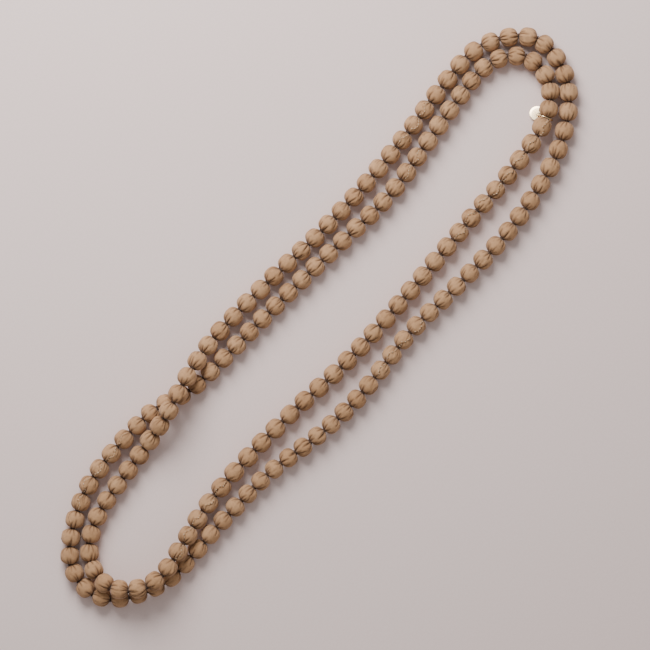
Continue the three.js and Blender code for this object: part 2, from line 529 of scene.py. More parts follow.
# ---- node trees that grow repeated pieces ----
class Grower:
    """A Geometry Nodes tree under construction, with named inputs for its sizes."""

    def __init__(self, name: str, sizes: dict[str, float | int]) -> None:
        """Starts a tree.

        Args:
            name: The name of the tree.
            sizes: Its named inputs and their values. A whole number makes an integer input.
        """
        self.tree = bpy.data.node_groups.new(name, "GeometryNodeTree")
        self.sizes = sizes
        face = self.tree.interface
        face.new_socket("Geometry", in_out="INPUT", socket_type="NodeSocketGeometry")
        face.new_socket("Geometry", in_out="OUTPUT", socket_type="NodeSocketGeometry")
        for size, value in sizes.items():
            kind = "NodeSocketInt" if isinstance(value, int) else "NodeSocketFloat"
            face.new_socket(size, in_out="INPUT", socket_type=kind)
        self.entry = self.tree.nodes.new("NodeGroupInput")
        self.exit = self.tree.nodes.new("NodeGroupOutput")

    def size(self, name: str) -> bpy.types.NodeSocket:
        """A named input of the tree."""
        return self.entry.outputs[name]

    def node(
        self,
        kind: str,
        settings: dict[str, Any] | None = None,
        inputs: dict[str | int, Any] | None = None,
    ) -> bpy.types.Node:
        """Adds a node.

        Args:
            kind: The node's type.
            settings: Properties of the node itself.
            inputs: Values or sockets, by the name or number of the input.

        Returns:
            The new node.
        """
        made = self.tree.nodes.new(kind)
        for key, value in (settings or {}).items():
            setattr(made, key, value)
        for key, value in (inputs or {}).items():
            if isinstance(value, bpy.types.NodeSocket):
                self.tree.links.new(value, made.inputs[key])
            else:
                made.inputs[key].default_value = value
        return made

    def marked(self, name: str) -> bpy.types.NodeSocket:
        """A vector that the source mesh carries on each point."""
        made = self.node("GeometryNodeInputNamedAttribute", {"data_type": "FLOAT_VECTOR"}, {"Name": name})
        return made.outputs["Attribute"]

    def sum(self, operation: str, *values: Any) -> bpy.types.NodeSocket:
        """The result of a sum on numbers or sockets."""
        return self.node("ShaderNodeMath", {"operation": operation}, dict(enumerate(values))).outputs[0]

    def chance(self, low: float, high: float, offset: int = 0) -> bpy.types.NodeSocket:
        """A random number for each point, from the tree's seed.

        Args:
            low: The least value.
            high: The greatest value.
            offset: What is added to the seed, so that draws differ.

        Returns:
            A value for each point.
        """
        seed = self.sum("ADD", self.size("Seed"), offset)
        made = self.node("FunctionNodeRandomValue", {"data_type": "FLOAT"})
        for socket in made.inputs:
            if socket.enabled and socket.name == "Min":
                socket.default_value = low
            elif socket.enabled and socket.name == "Max":
                socket.default_value = high
            elif socket.name == "Seed":
                self.tree.links.new(seed, socket)
        return next(socket for socket in made.outputs if socket.enabled)

    def vector(self, x: Any, y: Any, z: Any) -> bpy.types.NodeSocket:
        """A vector from three numbers or sockets."""
        return self.node("ShaderNodeCombineXYZ", None, {0: x, 1: y, 2: z}).outputs[0]

    def facing(
        self,
        axis: str,
        direction: bpy.types.NodeSocket,
        start: bpy.types.NodeSocket | None = None,
    ) -> bpy.types.NodeSocket:
        """A rotation that points one axis of a piece in a direction.

        Args:
            axis: The piece's axis, X, Y or Z.
            direction: Where it points.
            start: A rotation to begin from, or None.

        Returns:
            The rotation.
        """
        inputs: dict[str | int, Any] = {"Vector": direction}
        if start is not None:
            inputs["Rotation"] = start
        return self.node("FunctionNodeAlignRotationToVector", {"axis": axis}, inputs).outputs[0]

    def spun(self, turn: bpy.types.NodeSocket) -> bpy.types.NodeSocket:
        """A rotation about a piece's own Z axis."""
        return self.node("FunctionNodeEulerToRotation", None, {0: self.vector(0.0, 0.0, turn)}).outputs[0]

    def tube(
        self,
        curve: bpy.types.NodeSocket,
        radius: bpy.types.NodeSocket,
        sides: int,
        capped: bool = True,
    ) -> bpy.types.NodeSocket:
        """A round tube along a curve.

        Args:
            curve: The middle line.
            radius: The tube's radius.
            sides: Faces round it.
            capped: Whether its ends are closed.

        Returns:
            The tube's mesh.
        """
        profile = self.node("GeometryNodeCurvePrimitiveCircle", None, {"Resolution": sides, "Radius": radius})
        inputs = {"Curve": curve, "Profile Curve": profile.outputs["Curve"], "Fill Caps": capped}
        return self.node("GeometryNodeCurveToMesh", None, inputs).outputs["Mesh"]

    def on_points(
        self,
        points: bpy.types.NodeSocket,
        piece: bpy.types.NodeSocket,
        rotation: bpy.types.NodeSocket,
        scale: Any = None,
    ) -> bpy.types.NodeSocket:
        """A copy of a piece on every point.

        Args:
            points: The points.
            piece: What stands on each.
            rotation: How each copy is turned.
            scale: How each copy is sized, or None.

        Returns:
            The copies, as instances.
        """
        inputs: dict[str | int, Any] = {"Points": points, "Instance": piece, "Rotation": rotation}
        if scale is not None:
            inputs["Scale"] = scale
        return self.node("GeometryNodeInstanceOnPoints", None, inputs).outputs["Instances"]

    def finished(self, geometry: bpy.types.NodeSocket, material: bpy.types.Material) -> None:
        """Ends the tree: real meshes, smooth, with their material.

        Args:
            geometry: What the tree has grown.
            material: The finish it is given.
        """
        real = self.node("GeometryNodeRealizeInstances", None, {"Geometry": geometry}).outputs[0]
        smooth = self.node("GeometryNodeSetShadeSmooth", None, {"Geometry": real}).outputs[0]
        dressed = self.node("GeometryNodeSetMaterial", None, {"Geometry": smooth, "Material": material}).outputs[0]
        self.tree.links.new(dressed, self.exit.inputs[0])

    def grown(self, name: str, source: bpy.types.Mesh, material: bpy.types.Material) -> bpy.types.Object:
        """Runs the tree on a source mesh and keeps the result as a plain piece.

        Args:
            name: The name of the piece.
            source: The points or lines that the tree grows from.
            material: The piece's finish.

        Returns:
            The piece, with no modifier left on it.
        """
        holder = bpy.data.objects.new(f"{name}_source", source)
        bpy.context.scene.collection.objects.link(holder)
        growth = holder.modifiers.new("growth", "NODES")
        growth.node_group = self.tree
        for item in self.tree.interface.items_tree:
            if item.item_type == "SOCKET" and item.in_out == "INPUT" and item.name in self.sizes:
                growth[item.identifier] = self.sizes[item.name]
        graph = bpy.context.evaluated_depsgraph_get()
        mesh = bpy.data.meshes.new_from_object(holder.evaluated_get(graph), depsgraph=graph)
        mesh.name = name
        bpy.data.objects.remove(holder)
        bpy.data.meshes.remove(source)
        return placed(name, mesh, material)


# ---- the strand ----
@dataclass(frozen=True)
class Run:
    """A run of covered beads between two fold necks."""

    node: str
    body: str
    start: int
    beads: int


@dataclass(frozen=True)
class BeadAxes:
    """The axes of one bead: where its cover starts and ends, along it, sideways and up."""

    start: np.ndarray
    length: float
    along: np.ndarray
    side: np.ndarray
    up: np.ndarray

    @classmethod
    def between(cls, start: np.ndarray, end: np.ndarray) -> "BeadAxes":
        """The axes of a bead between two necks.

        Args:
            start: The neck before the bead.
            end: The neck after it.

        Returns:
            The axes.
        """
        along = unit(end - start)
        side = unit(np.cross(along, (0.0, 0.0, 1.0)))
        return cls(start, float(np.linalg.norm(end - start)), along, side, np.cross(side, along))

    def at(self, distance: np.ndarray, angle: np.ndarray, radius: np.ndarray) -> np.ndarray:
        """Points round the bead.

        Args:
            distance: How far along from the start, in metres.
            angle: The angle round, from the side towards the top.
            radius: The distance from the middle line.

        Returns:
            The points, with x, y and z last.
        """
        out = np.cos(angle)[..., None] * self.side + np.sin(angle)[..., None] * self.up
        return self.start + distance[..., None] * self.along + radius[..., None] * out


@dataclass
class StrandRoute:
    """The closed path of the strand through its 160 necks, wound into two rounds."""

    bead_width: float = 0.0105
    clearance: float = 0.0003
    samples: int = 48
    necks: np.ndarray = field(init=False)
    runs: list[Run] = field(init=False)
    fold_of: dict[int, str] = field(init=False)
    bodies: dict[str, str] = field(init=False)
    joints: dict[str, dict[str, Any]] = field(init=False)

    def __post_init__(self) -> None:
        """Lays the necks and finds the runs between the folds."""
        self.necks = self.lay_necks()
        found, neck = [], 0
        for mark, _, _, beads in ROUTE:
            if mark in FOLDS:
                found.append((neck, mark, PASSES[len(found) // len(FOLDS)]))
            neck += beads
        self.fold_of = {at: f"tie_{fold}_{line}" for at, fold, line in found}
        bodies = {node: body for body, nodes in frame["record"]["behaviour"]["bodies"].items() for node in nodes}
        self.bodies = bodies
        self.joints = {joint["name"]: joint for joint in frame["joints"]}
        self.runs = []
        for here, after in zip(found, found[1:] + found[:1]):
            node = self.run_name(here, after)
            self.runs.append(Run(node, bodies[node], here[0], (after[0] - here[0]) % self.count))

    @property
    def count(self) -> int:
        """How many beads the strand has."""
        return len(self.necks)

    @staticmethod
    def run_name(here: tuple[int, str, str], after: tuple[int, str, str]) -> str:
        """The name of the run of beads between two fold necks.

        Args:
            here: The neck, fold and pass that the run starts from.
            after: The same where it ends.

        Returns:
            The name of its node.
        """
        if here[2] == after[2]:
            return f"beads_{here[2]}_{''.join(sorted(here[1] + after[1]))}"
        if here[2][:6] == after[2][:6]:
            return f"beads_{here[2][:6]}_far_turn"
        return "beads_outer_tag_turn" if here[2].startswith("round1") else "beads_inner_tag_turn"

    def lay_necks(self) -> np.ndarray:
        """Places every neck along a smooth closed curve through the rows of the route.

        Returns:
            The middle of each neck, in order along the strand.
        """
        radius = self.bead_width / 2
        stack = self.bead_width + self.clearance
        rows = []
        for mark, y, lift, _ in ROUTE:
            x = FOLDS[mark][0] + FOLDS[mark][1] * y if mark in FOLDS else mark
            rows.append((x, y, radius + lift * stack))
        rows = np.array(rows)
        necks = []
        for row, (_, _, _, beads) in enumerate(ROUTE):
            before, here, after, beyond = (rows[(row + step) % len(rows)] for step in (-1, 0, 1, 2))
            curve = self.curve_between(before, here, after, beyond)
            curve[:, 2] = np.maximum(curve[:, 2], radius)
            reach = np.concatenate([[0.0], np.cumsum(np.linalg.norm(np.diff(curve, axis=0), axis=1))])
            goals = reach[-1] * np.arange(beads) / beads
            necks.append(np.stack([np.interp(goals, reach, curve[:, axis]) for axis in range(3)], 1))
        return np.concatenate(necks)

    def curve_between(
        self,
        before: np.ndarray,
        here: np.ndarray,
        after: np.ndarray,
        beyond: np.ndarray,
    ) -> np.ndarray:
        """Points of a centripetal curve from one row to the next.

        Args:
            before: The row before.
            here: The row that the stretch starts from.
            after: The row that it ends at.
            beyond: The row after that.

        Returns:
            The points, both ends included.
        """
        gaps = [np.linalg.norm(b - a) ** 0.5 for a, b in ((before, here), (here, after), (after, beyond))]
        first = (here - before) / gaps[0] - (after - before) / (gaps[0] + gaps[1]) + (after - here) / gaps[1]
        last = (after - here) / gaps[1] - (beyond - here) / (gaps[1] + gaps[2]) + (beyond - after) / gaps[2]
        first, last = first * gaps[1], last * gaps[1]
        t = np.linspace(0.0, 1.0, self.samples + 1)[:, None]
        square = -3 * here + 3 * after - 2 * first - last
        cube = 2 * here - 2 * after + first + last
        return here + first * t + square * t**2 + cube * t**3

    def axes(self, bead: int) -> BeadAxes:
        """The axes of the bead after a neck."""
        return BeadAxes.between(self.necks[bead % self.count], self.necks[(bead + 1) % self.count])

    def neck_along(self, neck: int) -> np.ndarray:
        """The direction of the strand through a neck."""
        return unit(self.necks[(neck + 1) % self.count] - self.necks[(neck - 1) % self.count])

    def fold_room(self, bead: int) -> list[tuple[np.ndarray, np.ndarray]]:
        """The planes that a bead's cover keeps behind, so that the bead past a fold has room to turn.

        Args:
            bead: The bead's number.

        Returns:
            A place and the way out of the bead there, for each fold beside it.
        """
        planes = []
        for neck, side in ((bead % self.count, -1), ((bead + 1) % self.count, 1)):
            if neck not in self.fold_of:
                continue
            joint = self.joints[f"fold_{self.fold_of[neck][4].lower()}"]
            sense = 1 if joint["parent"] == self.body_of_bead(bead) else -1
            turn = Matrix.Rotation(sense * math.radians(joint["range_deg"][1]), 3, Vector(joint["axis"]))
            way = side * self.neck_along(neck)
            planes.append((self.necks[neck], unit(way + np.array(turn) @ way)))
        return planes

    def body_of_neck(self, neck: int) -> str:
        """The body that a neck's tie moves with.

        Args:
            neck: The neck's number.

        Returns:
            The body's name.
        """
        if neck in self.fold_of:
            return self.bodies[self.fold_of[neck]]
        return self.body_of_bead(neck)

    def body_of_bead(self, bead: int) -> str:
        """The body that a bead moves with."""
        return next(run.body for run in self.runs if (bead - run.start) % self.count < run.beads)


@dataclass(frozen=True)
class Gathers:
    """The pleats that the tie at one end presses into a bead's cover."""

    angle: np.ndarray
    depth: np.ndarray
    reach: np.ndarray
    twist: np.ndarray

    @classmethod
    def drawn(cls, rng: np.random.Generator) -> "Gathers":
        """Draws the pleats of one tied end.

        Args:
            rng: The source of chance.

        Returns:
            Nine to twelve deep pleats and as many faint ones, unevenly spread.
        """
        number = int(rng.integers(9, 13))
        pitch = 2 * math.pi / number
        angle = pitch * (np.arange(2 * number) + rng.uniform(-0.36, 0.36, 2 * number)) + rng.uniform(0, pitch)
        deep = np.concatenate([rng.uniform(0.35, 1.0, number), rng.uniform(0.10, 0.34, number)])
        reach = np.concatenate([rng.uniform(0.0026, 0.0060, number), rng.uniform(0.0030, 0.0078, number)])
        return cls(angle, deep, reach * (0.7 + 0.4 * deep), rng.uniform(-0.24, 0.24, 2 * number))


@dataclass(frozen=True)
class BeadCharacter:
    """What makes one bead differ from the next: its size, tone, pleats, wrinkles and seam."""

    swell: float
    tone: float
    gathers: tuple[Gathers, Gathers]
    wrinkles: np.ndarray
    seam: float

    @classmethod
    def drawn(cls, bead: int, seam: float) -> "BeadCharacter":
        """Draws a bead's character from its own number.

        Args:
            bead: The bead's number along the strand.
            seam: The angle of the sleeve's seam on it.

        Returns:
            The character, the same every time.
        """
        rng = np.random.default_rng(5200 + bead)
        gathers = (Gathers.drawn(rng), Gathers.drawn(rng))
        wrinkles = np.stack([rng.uniform(0, 2 * math.pi, 16), rng.uniform(-1, 1, 16), rng.uniform(-0.9, 0.9, 16)])
        return cls(float(rng.uniform(0.985, 1.012)), float(rng.uniform(0, 1)), gathers, wrinkles, seam)


@dataclass
class BeadCovers:
    """The woven sleeve over the beads, gathered at every neck, one mesh for each run."""

    route: StrandRoute
    radius: float = 0.00562
    neck_radius: float = 0.00115
    neck_half: float = 0.00014
    fullness: float = 2.9
    cloth: float = 0.00015
    pleat_depth: float = 0.00260
    pleat_width: float = 0.00036
    wrinkle_height: float = 0.00020
    wrinkle_width: float = 0.00062
    seam_height: float = 0.00046
    seam_width: float = 0.00042
    touching: float = 0.00003
    table: float = 0.00002
    around: int = 96
    rows: int = 28
    inner_step: int = 2
    tube_width: float = field(init=False)

    def __post_init__(self) -> None:
        """Cuts the sleeve as wide as a bead's cover is round at its fullest."""
        self.tube_width = 2 * math.pi * self.radius

    def seam_angle(self, bead: int) -> float:
        """The angle of the seam on a bead, rolling from the top to underneath within a few beads.

        Args:
            bead: The bead's number.

        Returns:
            The angle in radians.
        """
        number = bead % self.route.count + 1
        nearest = min(
            min(max(first - number, 0), self.route.count - last + number) if number < first else max(number - last, 0)
            for first, last in SEAM_SHOWS
        )
        rolled = min(nearest / 4, 1.0)
        sway = 13.0 * math.sin(1.7 * number) + 6.0 * math.sin(0.61 * number + 1.0)
        return math.radians(SeamSide.TOP.value + rolled * (SeamSide.UNDER.value - SeamSide.TOP.value) + sway)

    def character(self, bead: int) -> BeadCharacter:
        """The character of a bead."""
        return BeadCharacter.drawn(bead % self.route.count, self.seam_angle(bead))

    def relief(
        self,
        kind: BeadCharacter,
        length: float,
        distance: np.ndarray,
        angle: np.ndarray,
    ) -> tuple[np.ndarray, np.ndarray]:
        """The shape of a bead's cover.

        Args:
            kind: The bead's character.
            length: From neck to neck, in metres.
            distance: How far along from the first neck.
            angle: The angle round, of the same shape.

        Returns:
            The radius at each point, and the painted shade there, from nought to one: in the pleats, next to the ties
            and on one flank of the seam.
        """
        free = length / 2 - self.neck_half
        share = np.clip(np.abs(distance - length / 2) / free, 0, 1)
        full = self.radius * kind.swell
        smooth = np.sqrt(self.neck_radius**2 + (full**2 - self.neck_radius**2) * (1 - share**self.fullness))
        dent, crease = np.zeros_like(smooth), np.zeros_like(smooth)
        for gathers, away in zip(kind.gathers, (distance, length - distance)):
            clear = np.maximum(away - self.neck_half, 0)[..., None]
            fade = np.clip(1 - clear / gathers.reach, 0, 1) ** 0.9
            rise = np.clip(0.28 + clear / 0.0009, 0, 1)
            gap = np.abs(turned(angle[..., None] - gathers.angle - gathers.twist * clear / gathers.reach))
            valley = np.exp(-gap * smooth[..., None] / self.pleat_width)
            dent += (self.pleat_depth * gathers.depth * rise * fade * valley).sum(-1)
            # Painted shade down the deep pleats near each tie.
            dark = (fade**0.4 * np.minimum(1.9 * gathers.depth, 1.0) * valley**0.65).max(-1)
            # Painted shade over the cloth next to each neck, reaching farther out along the pleats.
            neck_shade = np.clip(1.2 - clear[..., 0] / 0.0008 * (1.35 - 0.75 * (valley * gathers.depth).max(-1)), 0, 1)
            crease = np.maximum(crease, np.maximum(dark, neck_shade))
        dent = np.minimum(dent, 0.42 * smooth)
        swell = np.sin(math.pi * np.clip(distance / length, 0, 1)) ** 0.7
        place, height, slant = kind.wrinkles[:, None, None, :]
        gap = turned(angle[..., None] - place - slant * (distance[..., None] / length - 0.5))
        ripple = (height * np.exp(-((gap * smooth[..., None] / self.wrinkle_width) ** 2))).sum(-1)
        gap = turned(angle - self.seam_line(kind, length, distance)) * smooth
        ridge = np.exp(-((gap / self.seam_width) ** 2)) * np.clip(swell * 1.6, 0, 1)
        flank = np.exp(-(((gap - 1.6 * self.seam_width) / (0.7 * self.seam_width)) ** 2)) * swell
        pucker = 0.5 + 0.5 * np.sin(2 * math.pi * distance / 0.0021 + 40 * kind.tone)
        radius = smooth - dent + self.wrinkle_height * ripple * swell + self.seam_height * ridge * (0.6 + 0.4 * pucker)
        # The second value returned is painted shade: the pleats, the cloth by the necks and the sunken flank beside the
        # seam.
        return radius - 0.00022 * flank * pucker, np.clip(np.maximum(crease, 1.1 * flank * pucker**1.5), 0, 1)

    def seam_line(self, kind: BeadCharacter, length: float, distance: np.ndarray) -> np.ndarray:
        """The angle at which the seam wanders along a bead."""
        share = distance / length
        return kind.seam + 0.26 * np.sin(2 * math.pi * share + 9 * kind.tone) * np.sin(math.pi * share)

    def spacing(self, length: float) -> np.ndarray:
        """How far along each row of a bead's mesh stands, closer together towards its ends."""
        share = np.arange(self.rows) / self.rows
        return length * (share - 0.095 * np.sin(2 * math.pi * share))

    def run_grid(self, run: Run) -> dict[str, np.ndarray]:
        """The outside of the sleeve over a run of beads, as a grid.

        Args:
            run: The run of beads.

        Returns:
            Grids of points, painted crease shade, tones and the middle line.
        """
        angle = np.arange(self.around) * 2 * math.pi / self.around
        grids: dict[str, list[np.ndarray]] = {"points": [], "crease": [], "tone": [], "middle": []}
        for step in range(run.beads + 1):
            bead = run.start + step
            last = step == run.beads
            axes = self.route.axes(bead - 1 if last else bead)
            kind = self.character(bead - 1 if last else bead)
            distance = np.array([axes.length]) if last else self.spacing(axes.length)
            if step == 0:
                distance = np.maximum(distance, 0.00015)
            if last:
                distance = distance - 0.00015
            along = np.repeat(distance[:, None], self.around, 1)
            around = np.repeat(angle[None], len(distance), 0)
            radius, crease = self.relief(kind, axes.length, along, around)
            points = self.settled(axes.at(along, around, radius), bead - 1 if last else bead)
            middle = axes.start + distance[:, None] * axes.along
            if 0 < step < run.beads:
                points[0], middle[0] = self.neck_ring(bead, angle, radius[0])
            grids["points"].append(points)
            grids["crease"].append(crease)
            grids["tone"].append(np.full_like(crease, kind.tone))
            grids["middle"].append(middle)
        return {name: np.concatenate(parts) for name, parts in grids.items()}

    def settled(self, points: np.ndarray, bead: int) -> np.ndarray:
        """Presses a bead's cover flat where it meets the beads round it.

        Args:
            points: The cover's points.
            bead: The bead's number.

        Returns:
            The points, with none past the plane midway to a neighbour.
        """
        count = self.route.count
        centres = (self.route.necks + np.roll(self.route.necks, -1, 0)) / 2
        here = centres[bead % count]
        planes = [
            (self.route.necks[neck % count], side * self.route.neck_along(neck % count))
            for neck, side in ((bead, -1), (bead + 1, 1))
        ]
        for other in np.flatnonzero(np.linalg.norm(centres - here, axis=1) < 2 * self.radius + 0.0004):
            if (other - bead) % count not in (0, 1, count - 1):
                planes.append(((here + centres[other]) / 2, unit(centres[other] - here)))
        planes.extend(self.route.fold_room(bead))
        for place, way in planes:
            past = np.maximum((points - place) @ way + self.touching, 0)
            points = points - past[..., None] * way
        return points

    def neck_ring(self, neck: int, angle: np.ndarray, radius: np.ndarray) -> tuple[np.ndarray, np.ndarray]:
        """The ring of points at a neck inside a run, square to the strand there.

        Args:
            neck: The neck's number.
            angle: The angles round it.
            radius: The radius at each.

        Returns:
            The points, and the middle of the neck.
        """
        middle = self.route.necks[neck % self.route.count]
        along = self.route.neck_along(neck % self.route.count)
        axes = BeadAxes.between(middle, middle + along)
        return axes.at(np.zeros_like(angle), angle, radius), middle

    def run_mesh(self, run: Run) -> bpy.types.Mesh:
        """The sleeve over a run: a thin closed shell, open along the middle for the beads.

        Args:
            run: The run of beads.

        Returns:
            The mesh, with its painted crease shade, tones and cloth map.
        """
        grid = self.run_grid(run)
        outer = grid["points"]
        outer[..., 2] = np.maximum(outer[..., 2], self.table)
        count, around = outer.shape[:2]
        kept = np.unique(np.append(np.arange(0, count, self.inner_step), count - 1))
        middle = grid["middle"][:, None]
        inside = self.hollows(np.linalg.norm(outer - middle, axis=2))[kept][:, :: self.inner_step]
        ways = unit(outer - middle)[kept][:, :: self.inner_step]
        inner = middle[kept] + ways * np.maximum(inside - self.cloth, 0.0006)[..., None]
        inner[..., 2] = np.maximum(inner[..., 2], self.table + self.cloth)
        quads, triangles = self.shell_faces(count, around, len(kept))
        points = np.concatenate([outer.reshape(-1, 3), inner.reshape(-1, 3)])
        mesh = surface_mesh(run.node.replace("beads", "cover"), points, quads, triangles)
        # The crease attribute holds the painted shade; the inside of the sleeve gets none.
        for name, inside_value in (("crease", 0.0), ("tone", 0.5)):
            values = np.concatenate([grid[name].ravel(), np.full(inner.size // 3, inside_value)])
            layer = mesh.attributes.new(name, "FLOAT", "POINT")
            layer.data.foreach_set("value", values.astype(np.float32))
        self.map_cloth(mesh, outer, kept)
        return mesh

    def hollows(self, radius: np.ndarray) -> np.ndarray:
        """The lowest radius near each point of a grid, so that the inside of the cloth clears every crease.

        Args:
            radius: The radius at each point of a grid.

        Returns:
            The lowest radius near each.
        """
        lowest = radius.copy()
        for step in range(1, self.inner_step):
            for shifted in (np.roll(radius, step, 1), np.roll(radius, -step, 1)):
                lowest = np.minimum(lowest, shifted)
        near = lowest.copy()
        for step in range(1, self.inner_step):
            near[step:] = np.minimum(near[step:], lowest[:-step])
            near[:-step] = np.minimum(near[:-step], lowest[step:])
        return near

    def shell_faces(self, rows: int, around: int, inner_rows: int) -> tuple[np.ndarray, np.ndarray]:
        """The faces of a shell whose inside has fewer points than its outside.

        Args:
            rows: Rows of the outside.
            around: Points in each of those rows.
            inner_rows: Rows of the inside.

        Returns:
            The four-sided and the three-sided faces.
        """
        step = self.inner_step
        row, column = np.meshgrid(np.arange(rows - 1), np.arange(around), indexing="ij")
        after = (column + 1) % around
        outside = np.stack(
            [row * around + column, (row + 1) * around + column, (row + 1) * around + after, row * around + after], -1
        )
        few, base = around // step, rows * around
        row, column = np.meshgrid(np.arange(inner_rows - 1), np.arange(few), indexing="ij")
        after = (column + 1) % few
        inside = base + np.stack(
            [row * few + column, row * few + after, (row + 1) * few + after, (row + 1) * few + column], -1
        )
        triangles = []
        for edge, rim, flip in ((0, base, False), ((rows - 1) * around, base + (inner_rows - 1) * few, True)):
            for i in range(few):
                here, beyond = rim + i, rim + (i + 1) % few
                for j in range(step * i, step * (i + 1)):
                    triangles.append((edge + j, edge + (j + 1) % around, here))
                triangles.append((here, edge + step * (i + 1) % around, beyond))
            if flip:
                half = len(triangles) // 2
                triangles[half:] = [face[::-1] for face in triangles[half:]]
        return np.concatenate([outside.reshape(-1, 4), inside.reshape(-1, 4)]), np.array(triangles)

    def map_cloth(self, mesh: bpy.types.Mesh, outer: np.ndarray, kept: np.ndarray) -> None:
        """Lays the cloth's own map on the mesh, in metres round the bead and along the sleeve.

        Args:
            mesh: The run's mesh.
            outer: The outside grid.
            kept: The outside rows that the inside follows.
        """
        rows, around = outer.shape[:2]
        step = self.inner_step
        run = np.concatenate([[0.0], np.cumsum(np.linalg.norm(np.diff(outer[:, around // 4], axis=0), axis=1))])
        corners = np.zeros(len(mesh.loops), np.int32)
        mesh.loops.foreach_get("vertex_index", corners)
        inner = corners >= rows * around
        local = np.where(inner, corners - rows * around, corners)
        few = around // step
        row = np.where(inner, kept[np.minimum(local // few, len(kept) - 1)], np.minimum(local // around, rows - 1))
        column = np.where(inner, local % few * step, local % around)
        starts = np.zeros(len(mesh.polygons), np.int32)
        mesh.polygons.foreach_get("loop_start", starts)
        face = np.repeat(np.arange(len(starts)), np.diff(np.append(starts, len(corners))))
        widest = np.maximum.reduceat(column, starts)[face]
        column = np.where((widest - column) > around // 2, column + around, column)
        spread = 2 * math.pi * self.radius / around
        flat = np.stack([column * spread, run[row]], 1).astype(np.float32)
        mesh.uv_layers.new(name="ClothMap").uv.foreach_set("vector", flat.ravel())

    def cut_length(self, run: Run) -> float:
        """The length of sleeve over a run, along the beads' smooth outline from tie to tie, in metres.

        Args:
            run: The run of beads.

        Returns:
            The length in metres.
        """
        total = 0.0
        for bead in range(run.start, run.start + run.beads):
            length = self.route.axes(bead).length
            along = np.linspace(0.0, length, 200)
            share = np.clip(np.abs(along - length / 2) / (length / 2 - self.neck_half), 0, 1)
            outline = np.sqrt(self.neck_radius**2 + (self.radius**2 - self.neck_radius**2) * (1 - share**self.fullness))
            total += float(np.hypot(np.diff(along), np.diff(outline)).sum())
        return total

    def build(self, material: bpy.types.Material) -> list[bpy.types.Object]:
        """Args:
            material: The cloth.

        Returns:
            The pieces, one for each run.
        """
        pieces = []
        for run in self.route.runs:
            piece = placed(run.node.replace("beads", "cover"), self.run_mesh(run), material)
            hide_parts(run.node)
            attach(piece, run.body)
            length = round(self.cut_length(run), 4)
            LOG.info("%s: %d beads, sleeve %.1f mm long", piece.name, run.beads, 1000 * length)
            pieces.append(piece)
        return pieces

    def on_surface(
        self,
        bead: int,
        distance: np.ndarray,
        angle: np.ndarray,
        stand: float,
    ) -> tuple[np.ndarray, np.ndarray]:
        """Points on a bead's cover, with the way out at each.

        Args:
            bead: The bead's number.
            distance: How far along from its first neck.
            angle: The angle round.
            stand: How far off the cloth, in metres.

        Returns:
            The points and the outward directions.
        """
        axes = self.route.axes(bead)
        radius, _ = self.relief(self.character(bead), axes.length, distance[:, None], angle[:, None])
        points = axes.at(distance, angle, radius[:, 0] + stand)
        ahead, _ = self.relief(self.character(bead), axes.length, distance[:, None] + 0.0001, angle[:, None])
        slope = (ahead[:, 0] - radius[:, 0]) / 0.0001
        out = axes.at(np.zeros_like(distance), angle, np.ones_like(distance)) - axes.start
        return points, unit(out - slope[:, None] * axes.along)


